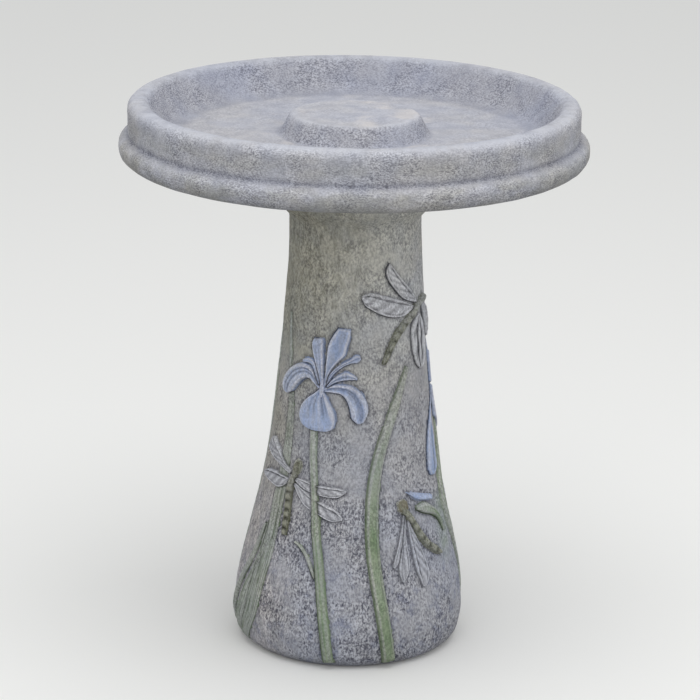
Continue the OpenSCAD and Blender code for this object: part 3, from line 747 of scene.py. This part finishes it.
# Stems, leaves and the bud's sheath
stemWidths = [6 * w for w in (0.68, 0.7, 0.8, 0.9, 0.95)]
leafWidths = [7 * w for w in (0.15, 0.6, 0.9, 1, 0.9, 0.95)]
bladeLines = [(0, -0.6, 0.1), (-0.5, 0.4, 0.2), (0.5, 0.4, 0.2)]
greens = {
    "front_stem": [
        stalk([(-28.5, 266), (-27, 228), (-24, 192), (-21, 155), (-17, 118), (-14, 81), (-11.5, 45),
               (-9.5, 8)], stemWidths, 5.6, 14, bare=[0.6, 0.4, 0.15, 0, 0], outline=0.6),
    ],
    "front_tendril": [
        stalk([(-33.5, 138), (-30, 135), (-26.5, 129), (-23.5, 121), (-18.5, 103)], [1.1, 1.6, 1.8, 1.8],
              2.4, 8, bare=0.8),
    ],
    "front_leaf": [
        shoot([(45, 328), (34.5, 294), (25, 262), (18, 230), (14, 198), (12.5, 166), (13, 134), (15, 102),
               (17.5, 66), (20, 30), (22, 8)], [7 * w for w in (0.2, 0.72, 0.82, 0.9, 0.95, 1, 1, 1, 1, 1)],
              4.8, 3.4, 18, lines=[(0.55, -0.4, 0.12), (-0.72, 0.4, 0.2)],
              bare=[0.9, 0.85, 0.6, 0.3, 0, 0.25, 0, 0.1], rub=0.4, outline=0.5),
    ],
    "left_leaves": [
        shape([(-63, 382), (-60, 340), (-56, 300), (-54.5, 255), (-55.5, 215), (-57.5, 175), (-56, 140),
               (-59, 108), (-61, 76), (-64, 42), (-74, 8)],
              [(-62, 382), (-56.5, 340), (-51, 300), (-47.5, 255), (-47, 215), (-47.5, 175), (-47.5, 140),
               (-48.5, 108), (-50.5, 76), (-54, 42), (-64, 8)], 2, 2.4, 40, rub=0.3,
              bare=[1, 1, 1, 1, 1, 0.95, 0.9, 0.85, 0.85, 0.85, 0.9], streaks=0.5, ink=0.9,
              lines=[(-0.8, -0.4, 0.05), (-0.55, -0.4, 0.04), (-0.3, -0.6, 0.06), (-0.05, -0.4, 0.04),
                     (0.18, -0.4, 0.04), (0.46, -0.6, 0.06), (0.74, -0.5, 0.05)]),
        shape([(-57, 150), (-60.5, 108), (-67, 76), (-74.5, 42), (-84, 8)],
              [(-55.5, 150), (-54.5, 108), (-58.5, 76), (-63, 42), (-72, 8)], 2, 2.4, 26, bare=0.9,
              streaks=0.5, ink=0.9,
              lines=[(-0.6, -0.5, 0.06), (-0.2, -0.4, 0.05), (0.1, -0.6, 0.06), (0.5, -0.5, 0.06)]),
        shoot([(-58.5, 146), (-64.5, 108), (-72.5, 76), (-81, 42), (-91, 8)],
              [7 * w for w in (0.15, 0.5, 0.65, 0.7, 0.7)], 3, 2.6, 22, bare=0.95, streaks=0.4,
              lines=bladeLines),
    ],
    "left_edge_leaf": [
        shoot([(-82, 360), (-87, 310), (-92, 255), (-97, 190), (-101, 120), (-104, 60), (-105, 8)],
              [1.1 * w for w in leafWidths], 1.6, 3, 24, bare=0.75, swell=[0.2, 0.6, 0.8, 1.2, 1.4],
              lines=bladeLines),
    ],
    "side_stem": [
        shoot([(98, 250), (88, 222), (80.5, 200), (76, 176), (78, 150), (86, 120), (98, 70), (105, 8)],
              [7.8 * w for w in (0.65, 0.85, 1, 1, 0.95, 0.9, 0.85)], 2.8, 4, 30, outline=0.2,
              bare=[0.4, 0.4, 0.5, 0.65, 0.8, 0.75, 0.7], lines=[(0.3, -0.3, 0.1)]),
    ],
    "side_bud_sheath": [
        shape([(43, 171), (49, 165), (56, 160), (61.5, 153), (65, 144), (67.5, 136)],
              [(43, 175), (50.5, 176.5), (58, 169), (63, 160), (66.5, 149), (69, 138)], 5, 3.4, 22,
              lines=[(0.2, -0.5, 0.12)], swell=[1.1, 1.1, 0.9, 0.6, 0.35], bare=[1, 0.6, 0.1, 0.1, 0.5],
              rub=0.5, outline=0.9, soft=0.2),
    ],
    "back_stem": [
        stalk([(168, 266), (167, 239), (168, 205), (171, 165), (175, 123), (179, 81), (182, 45), (185, 8)],
              stemWidths, 5.6, 14),
    ],
    "back_leaves": [
        shoot([(234, 321), (224, 272), (214, 230), (208, 188), (206, 156), (206, 120), (207, 75), (210, 8)],
              leafWidths, 4.8, 3.2, 18, lines=bladeLines),
        shoot([(132, 250), (138, 205), (142, 160), (143, 110), (143, 60), (142, 8)], leafWidths,
              4.8, 3.2, 18, lines=bladeLines),
    ],
}
for node, strips in greens.items():
    makeRelief(node, strips, "leaf_stain", leafStain)

# Dragonflies: bodies with a head, a neck groove and a beaded tail, and ribbed wings
bodyWidths = [4.5 * w for w in (0.4, 0.95, 0.75, 0.95, 1, 0.9, 0.9, 0.95, 0.95, 0.95, 0.95, 0.9, 0.8, 0.45)]
bodyCut = dict(widths=bodyWidths, thick=5.4, round=True, columns=24, rub=0.25, bare=0.12, ink=1.4,
               outline=0.75, swell=[0.9, 1.1, 0.8, 1.15, 1.1, 1, 0.95, 0.9, 0.85, 0.75])
lowerHead = dict(route=[(29.5, 178), (33, 178), (37, 178.5)], widths=[3.5, 7, 7.5, 4], thick=3.4, outline=0,
                 bare=0.1, soft=1, rust=0.5, rustTo=2, plain=True)
bodies = {
    "left_dragonfly_body": [
        dict(route=[(-38.5, 223), (-41, 208), (-43, 193), (-42.5, 176), (-42, 159), (-41.5, 142)],
             beads=(9, 0.33, 1.5), rust=0.1, dark=0.2, bare=[0.2, 0.6, 0.8, 0.3, 0.15, 0.15, 0.15]),
        dict(route=[(-37.5, 225), (-39, 217), (-40.5, 209)], widths=[3, 5.5, 5.5, 3], thick=3, outline=0,
             bare=0.2, soft=1, plain=True),
    ],
    "upper_dragonfly_body": [
        dict(route=[(76, 399), (63, 393), (51, 383), (40, 371), (31, 355), (24, 335)], beads=(9, 0.3, 1.1),
             dots=True, bare=[1, 1, 0.8, 0.35, 0.25, 0.3], outline=0.4, soft=0.3,
             widths=[4.3 * w for w in (0.5, 0.9, 0.7, 1, 1, 1, 1, 1, 1, 0.95, 0.9, 0.8, 0.65, 0.35)]),
    ],
    "lower_dragonfly_body": [
        dict(route=[(32.5, 183), (33.5, 174), (37.5, 164), (41.5, 152), (46, 138.5), (52.5, 126),
                    (61, 115.5)], beads=(8, 0.27, 1.1), dots=True, bare=0.25, rust=0.35, outline=0.25,
             soft=0.35),
        lowerHead,
    ],
    "back_dragonfly_body": [
        dict(route=[(228, 216), (231, 203), (234, 188), (239, 168), (245, 146)], beads=(9, 0.33, 1.5),
             rust=0.1),
    ],
}
for node, cuts in bodies.items():
    makeRelief(node, [dict(bodyCut, **cut) for cut in cuts], "insect_stain", insectStain)


def wingCut(lead, ribs):
    # lead is the side of the strong front rib: -1 the right edge, 1 the left
    lines = [(0.86 * lead, 1.3, 0.1), (0.58 * lead, -1.0, 0.1), (-0.9 * lead, 0.9, 0.09),
             (-0.7 * lead, -0.5, 0.1)]
    return dict(thick=2.8, edge=1.3, columns=44, lines=lines, veins=(ribs, 0.9 * lead, 0.36), bare=0.25,
                rub=1, ink=0.7)


def wing(right, left, lead, ribs=5, **more):
    return {**wingCut(lead, ribs), "right": right, "left": left, **more}


def routeWing(route, wide, lead):
    return dict(wingCut(lead, 4), route=route, widths=[7 * wide * w for w in (0.25, 0.7, 1, 1, 0.35)])


wings = {
    "left_dragonfly_wings": [
        wing([(-44, 211), (-50, 219), (-54.5, 226), (-60.5, 233), (-66, 240)],
             [(-45, 208), (-55.5, 215), (-65.5, 220), (-73, 226.5), (-70.5, 238.5)], -1, thick=3.6, bare=0),
        wing([(-44, 202), (-50, 204), (-57, 205), (-64.5, 203.5), (-71, 201), (-77, 196.5)],
             [(-44.5, 200), (-48.5, 193), (-53.5, 189.5), (-60.5, 190.5), (-67, 191.5), (-75, 193)], -1,
             thick=3.6, bare=0),
        wing([(-40, 202), (-32, 196), (-25, 193), (-17, 191), (-9.5, 191), (-4, 196)],
             [(-40, 205.5), (-31, 204.5), (-24, 202.5), (-16, 201.5), (-9, 201), (-3.5, 198.5)], 1,
             bare=0.05),
        wing([(-40.5, 197.5), (-34.5, 186), (-29.5, 178), (-21.5, 172), (-13, 165.5), (-6, 166.5)],
             [(-40.5, 200.5), (-32, 194), (-25, 188), (-17.5, 183), (-9.5, 177), (-5.5, 169)], 1,
             bare=0.05),
    ],
    "upper_dragonfly_wings": [
        wing([(60.5, 398), (53, 411), (46, 421), (40, 430), (35, 438), (31.5, 444.5)],
             [(59, 396), (44, 404), (35, 416), (29.5, 426), (27, 436), (30, 445)], -1, bare=0.5),
        wing([(56.5, 393), (45.5, 400.5), (34, 406.5), (24, 411), (15.5, 414.5), (9.5, 414), (6.5, 411.5)],
             [(51.5, 389.5), (42.5, 385.5), (33.5, 385.5), (23.5, 389.5), (15, 395.5), (9, 401),
              (6, 408.5)], -1, bare=0.5),
        wing([(60.5, 381), (54, 374.5), (51.5, 365), (52, 352.5), (54, 339.5), (57.5, 327.5), (62, 321.5)],
             [(64.5, 382), (69, 368.5), (71.5, 357), (72, 344), (71, 332), (68.5, 325), (65, 321)], 1, 3,
             ink=1.2,
             lines=[(0.86, 1.2, 0.1), (0.4, -1.3, 0.12), (0.1, 0.8, 0.1), (-0.25, -1.2, 0.12),
                    (-0.9, 0.9, 0.09)]),
        wing([(68.5, 392), (71, 381), (73.5, 371), (77, 360), (81.5, 350.5)],
             [(72.5, 393), (79.5, 385), (84.5, 374.5), (87, 362.5), (84, 351.5)], 1),
    ],
    "lower_dragonfly_wings": [
        wing([(32.5, 169), (31, 156), (29, 142.5), (27, 130.5), (25, 120), (24.5, 114.5)],
             [(33, 168.5), (32, 156), (31, 142), (29.5, 130), (28, 119.5), (25.5, 112.5)], -1, 3, bare=0,
             outline=0.7),
        wing([(33, 168), (32, 155.5), (31, 142), (29.5, 130), (28, 117.5), (28, 107), (29.5, 97)],
             [(34, 168), (33.5, 155), (33.5, 141), (34, 128.5), (34.5, 117), (33.5, 106.5), (30.5, 96.5)],
             -1, 2, bare=0, outline=0.7),
        wing([(35, 167), (35.5, 154.5), (36, 142), (37, 128.5), (38, 115.5), (39.5, 102.5), (42.5, 87)],
             [(36, 167), (38.5, 152), (41.5, 138), (44, 125.5), (46.5, 112), (47.5, 98.5), (44.5, 86)],
             -1, 6, bare=0, outline=0.7),
    ],
    "back_dragonfly_wings": [
        routeWing([(229.5, 205), (224, 220), (219, 236), (215, 251)], 0.95, -1),
        routeWing([(232, 206), (238, 221), (245, 236), (252, 249)], 1, 1),
        routeWing([(231, 199), (227, 184), (222, 167), (217, 150)], 0.95, 1),
        routeWing([(234, 201), (241.5, 203), (249, 205), (256, 205)], 1.05, -1),
    ],
}
for node, strips in wings.items():
    makeRelief(node, strips, "wing_stone", wingStone)
creaseStrips()
joinRelief()
print("relief laid:", len(reliefPieces), "pieces")

# Pedestal, spun from its core's ceiling, down and out over the foot, up the face and over the spigot
seat, footRound, capRound = column["seat"], column["footRound"], column["capRound"]
coreHead, coreTop, coreRound = column["coreHead"], column["coreTop"], column["coreRound"]
spigot, spigotTop, bevel = column["spigot"], column["spigotTop"], column["spigotBevel"]
footLevels = [footRound * (1 - math.cos(math.radians(9 * i))) for i in range(10)]
faceTop = seat - capRound
faceRows = round((faceTop - footRound) / column["rowStep"])
faceLevels = [footRound + (faceTop - footRound) * i / faceRows for i in range(faceRows)]
capLevels = [seat - capRound * (1 - math.sin(math.radians(22.5 * i))) for i in range(5)]
columnProfile = drawnLine([(0, coreTop), (coreHead - coreRound, coreTop), (coreHead, coreTop - coreRound),
                           (column["coreFoot"], 0), (float(faceRadius(0)), 0)], 16)
columnProfile += [(float(faceRadius(z)), z) for z in (footLevels + faceLevels + capLevels)[1:]]
columnProfile += drawnLine([(float(faceRadius(seat)), seat), (spigot, seat), (spigot, spigotTop - bevel),
                            (spigot - bevel, spigotTop), (0, spigotTop)], 12)[1:]
pedestal = spinPiece("pedestal_cast", columnProfile, column["turns"])
points = readPoints(pedestal) / mm
radius = np.hypot(points[:, 0], points[:, 1])
height = points[:, 2]
angle = np.degrees(np.arctan2(points[:, 0], -points[:, 1]))
onFaceMask = (radius > faceRadius(np.clip(height, 0, seat)) - 0.4) & (height < seat - 0.01)
plain = onFace(angle, height, 0.0)
fade = smooth(0, 14, height) * smooth(0, 12, seat - height)
hollows = noiseAt(plain, 150.0, 0.6) + 0.6 * noiseAt(plain, 290.0, 0.65, 7.7)
pit = smooth(0.16, 0.62, hollows)
bumps = noiseAt(plain, 78.0, 0.7, 1.9)
lift = fade * (-column["pitDepth"] * pit + column["roughness"] * bumps + 0.3 * column["roughness"] * hollows)
lean = np.interp(height, leanAt, leanBy)
inside = np.c_[points[:, 0] + np.where(height < seat, lean, 0), points[:, 1], height] * mm
writePoints(pedestal, np.where(onFaceMask[:, None], onFace(angle, height, lift), inside))
# Darker near the relief: dark wash all round, and painted shade on the relief's left side
reliefTree = treeOf(reliefPieces)
nearness = np.zeros(len(points))
for i, v in enumerate(pedestal.data.vertices):
    if onFaceMask[i]:
        where, towards, face, gap = reliefTree.find_nearest(v.co, column["washReach"] * mm)
        if gap is not None:
            turn = math.radians(angle[i])
            toRight = (where - v.co).dot(Vector((math.cos(turn), math.sin(turn), 0))) / max(gap, 1e-6)
            nearness[i] = smooth(*column["washFade"], gap / mm) * (
                column["washLeast"] + column["washRight"] * smooth(-0.3, 0.6, toRight))
spill = np.exp(-((angle - column["spillAngle"]) / column["spillWide"]) ** 2) * onFaceMask
spill = spill * smooth(*column["spillFrom"], height) * smooth(*column["spillTo"], height)
pitted = np.where(onFaceMask, column["pitStain"] * pit * fade, column["coreStain"])
writeAttributes(pedestal, wash=nearness, pit=pitted, spill=column["spillShare"] * spill)
finishPiece(pedestal, "pedestal", ["pedestal"], columnStone)

# Bowl, spun from its socket, out under the bead, over the rim and across the basin to the boss
bowl = {
    "seat": 546, "socket": 48, "socketDepth": 31, "underEdge": 240, "underRound": 14,
    "bead": 254, "beadFace": 16, "beadRound": 9, "wall": 244, "notch": 28, "notchDepth": 0.9,
    "rimRound": 10, "rimTop": 64, "rimIn": 229, "lean": 35, "coveR": 185.57, "cove": 25, "floor": 28,
    "bossFoot": 83.5, "bossTop": 66, "bossHeight": 21,
    "turns": 512, "wave": 1.0, "lump": 0.8, "pitDepth": 0.6,
    "outside": 236, "rimFrom": 210, "beadFrom": 247, "beadTop": 22, "bossFrom": 15, "floorTo": 190,
    "coveFrom": (178, 192), "coveTo": (238, 220), "creamFade": (150, 70), "underBand": (30, 18),
    "bandAt": 42, "bandWide": 11, "bandShare": 0.65, "notchStain": 0.3, "pitStain": 0.25, "cream": 0.6,
    "coveBlue": 0.85, "bossBlue": 0.5, "notchBlue": 0.7, "beadWorn": 0.1, "bossWorn": 0.8,
}
wall, notch, dip = bowl["wall"], bowl["notch"], bowl["notchDepth"]
rimIn, rimRound, rimTop = bowl["rimIn"], bowl["rimRound"], bowl["rimTop"]
basinZ, bossFoot, bossTop = bowl["floor"], bowl["bossFoot"], bowl["bossTop"]
rimZ = rimTop - rimRound
bowlProfile = drawnLine([(0, bowl["socketDepth"]), (bowl["socket"], bowl["socketDepth"]), (bowl["socket"], 0),
                         (bowl["underEdge"], 0)], 8)
bowlProfile += arcPoints(bowl["underEdge"], bowl["underRound"], bowl["underRound"], -90, 0, 10)[1:]
bowlProfile += arcPoints(bowl["bead"] - bowl["beadRound"], bowl["beadFace"], bowl["beadRound"], 0, 72, 7)
bowlProfile += [(wall + 1.8, notch - 2.2), (wall - 0.4 * dip, notch - 1), (wall - dip, notch + 0.6),
                (wall - 0.6 * dip, notch + 2.4)]
bowlProfile += drawnLine([(wall, notch + 5), (wall, rimZ)], 2.4)
bowlProfile += arcPoints(wall - rimRound, rimZ, rimRound, 0, 90, 8)[1:]
bowlProfile += [((wall - rimRound + rimIn) / 2, rimTop)]
bowlProfile += arcPoints(rimIn, rimZ, rimRound, 90, 180 - bowl["lean"], 6)
coveLine = arcPoints(bowl["coveR"], basinZ + bowl["cove"], bowl["cove"], -bowl["lean"], -90, 11)
bowlProfile += drawnLine([bowlProfile[-1], coveLine[0]], 2.3)[1:] + coveLine[1:]
bowlProfile += drawnLine([coveLine[-1], (bossFoot, basinZ)], 3.4)[1:]
for share in np.linspace(0, 1, 15)[1:]:
    bowlProfile.append((bossFoot + (bossTop - bossFoot) * share,
                        basinZ + bowl["bossHeight"] * (1 - math.cos(math.pi * share)) / 2))
bowlProfile += drawnLine([bowlProfile[-1], (0, basinZ + bowl["bossHeight"])], 4.5)[1:]
basin = spinPiece("bowl_cast", [(r, z + bowl["seat"]) for r, z in bowlProfile], bowl["turns"])
points = readPoints(basin)
normals = readPoints(basin, "normal")
radius = np.hypot(points[:, 0], points[:, 1]) / mm
height = points[:, 2] / mm - bowl["seat"]
loose = np.clip(smooth(100, 130, radius) + (height > basinZ - 1) * (radius < 200), 0, 1)
steep = smooth(0.25, 0.8, np.sqrt(np.clip(1 - normals[:, 2] ** 2, 0, 1)))
hollows = noiseAt(points, 140.0, 1.0) + 0.6 * noiseAt(points, 280.0, 1.0, 5.2)
pit = smooth(0.22, 0.7, hollows)
lumps = noiseAt(points, 30.0, 1.0, 2.2) + 0.5 * noiseAt(points, 70.0, 1.0, 9.1)
waves = noiseAt(points, 6.0, 1.0, 4.4)
shift = loose * (bowl["wave"] * waves * steep + bowl["lump"] * lumps * (0.35 + 0.65 * steep)
                 - bowl["pitDepth"] * pit * (0.12 + 0.88 * steep))
writePoints(basin, points + normals * shift[:, None] * mm)
outside = radius > bowl["outside"]
# painted shade in the notch between the wall and the bead
notchWash = np.exp(-((height - notch) / 2.4) ** 2) * outside
rimEdge = np.exp(-((height - rimTop) / 4.5) ** 2) * (radius > bowl["rimFrom"])
beadEdge = np.exp(-((height - bowl["beadTop"]) / 5) ** 2) * (radius > bowl["beadFrom"])
bossEdge = np.exp(-((radius - bossTop - 1) / 4) ** 2) * (height > basinZ + bowl["bossFrom"])
bossSide = smooth(bossTop, bossTop + 6, radius) * smooth(bossFoot + 4, bossFoot, radius)
aboveFloor = height > basinZ - 2
coveSide = smooth(*bowl["coveFrom"], radius) * smooth(*bowl["coveTo"], radius) * aboveFloor
inFloor = (radius < bowl["floorTo"]) * aboveFloor
# painted bluish shade in the cove, on the boss's side and in the notch
blue = bowl["coveBlue"] * coveSide + bowl["bossBlue"] * bossSide * inFloor + bowl["notchBlue"] * notchWash
band = bowl["bandShare"] * np.exp(-((height - bowl["bandAt"]) / bowl["bandWide"]) ** 2)
band = band + smooth(*bowl["underBand"], height)
# the rim's crest pale from wear and a painted highlight, the bead's top and the boss's lip as painted
# highlights
worn = rimEdge + bowl["beadWorn"] * beadEdge + bowl["bossWorn"] * bossEdge
# painted glints on the floor and the boss's top, kept off the boss's side
cream = bowl["cream"] * inFloor * (1 - bossSide) * smooth(*bowl["creamFade"], radius)
writeAttributes(basin, wash=bowl["notchStain"] * notchWash, pit=bowl["pitStain"] * pit * steep * loose,
                wall=steep, blue=np.clip(blue, 0, 1), cream=cream, worn=np.clip(worn, 0, 1),
                band=outside * (height > -1) * band)
finishPiece(basin, "bowl", ["bowl"], bowlStone)

# Floor, light and background
studio = {"floor": paint(250, 250, 248), "floorBounce": paint(145, 145, 142), "floorSize": 14,
          "sky": (0.985, 0.993, 1.0, 1), "skyStrength": 0.64, "aim": (0, 0, 0.35),
          "lamps": [{"place": (0.2, -0.7, 3.1), "size": (2.6, 2.6), "power": 29.5},
                    {"place": (0.5, -4.2, 1.65), "size": (7, 2.8), "power": 41},
                    {"place": (-3.4, -1.2, 1.15), "size": (3, 2), "power": 10},
                    {"place": (3.4, -1.2, 1.15), "size": (3, 2), "power": 10}]}


def shownAndLit(tree, kind, shown, lit, output):
    # two plain shaders: what the camera sees, and what lights the object
    work["tree"] = tree
    tree.nodes.clear()
    path = newNode("ShaderNodeLightPath")
    seen = calc("ADD", calc("ADD", path["Is Camera Ray"], path["Is Glossy Ray"]),
                path["Is Transmission Ray"], True)
    given = {0: seen, 1: newNode(kind, lit)[0], 2: newNode(kind, shown)[0]}
    chosen = newNode("ShaderNodeMixShader", given)
    newNode(output, {"Surface": chosen[0]})


pickNothing()
bpy.ops.mesh.primitive_plane_add(size=studio["floorSize"], location=(0, 0, 0))
floor = bpy.context.active_object
floor.name = "floor"
floorMaterial = bpy.data.materials.new("floorPaint")
floorMaterial.use_nodes = True
shownAndLit(floorMaterial.node_tree, "ShaderNodeBsdfDiffuse", {"Color": studio["floor"]},
            {"Color": studio["floorBounce"]}, "ShaderNodeOutputMaterial")
floor.data.materials.append(floorMaterial)

world = bpy.data.worlds.new("studio")
scene.world = world
world.use_nodes = True
shownAndLit(world.node_tree, "ShaderNodeBackground", {"Color": (1, 1, 1, 1), "Strength": 1},
            {"Color": studio["sky"], "Strength": studio["skyStrength"]}, "ShaderNodeOutputWorld")

for made in studio["lamps"]:
    bpy.ops.object.light_add(type="AREA", location=made["place"])
    lamp = bpy.context.active_object
    lamp.data.shape = "RECTANGLE"
    lamp.data.size, lamp.data.size_y = made["size"]
    lamp.data.energy = made["power"]
    lamp.rotation_euler = (Vector(studio["aim"]) - lamp.location).to_track_quat("-Z", "Y").to_euler()
print("studio lit")
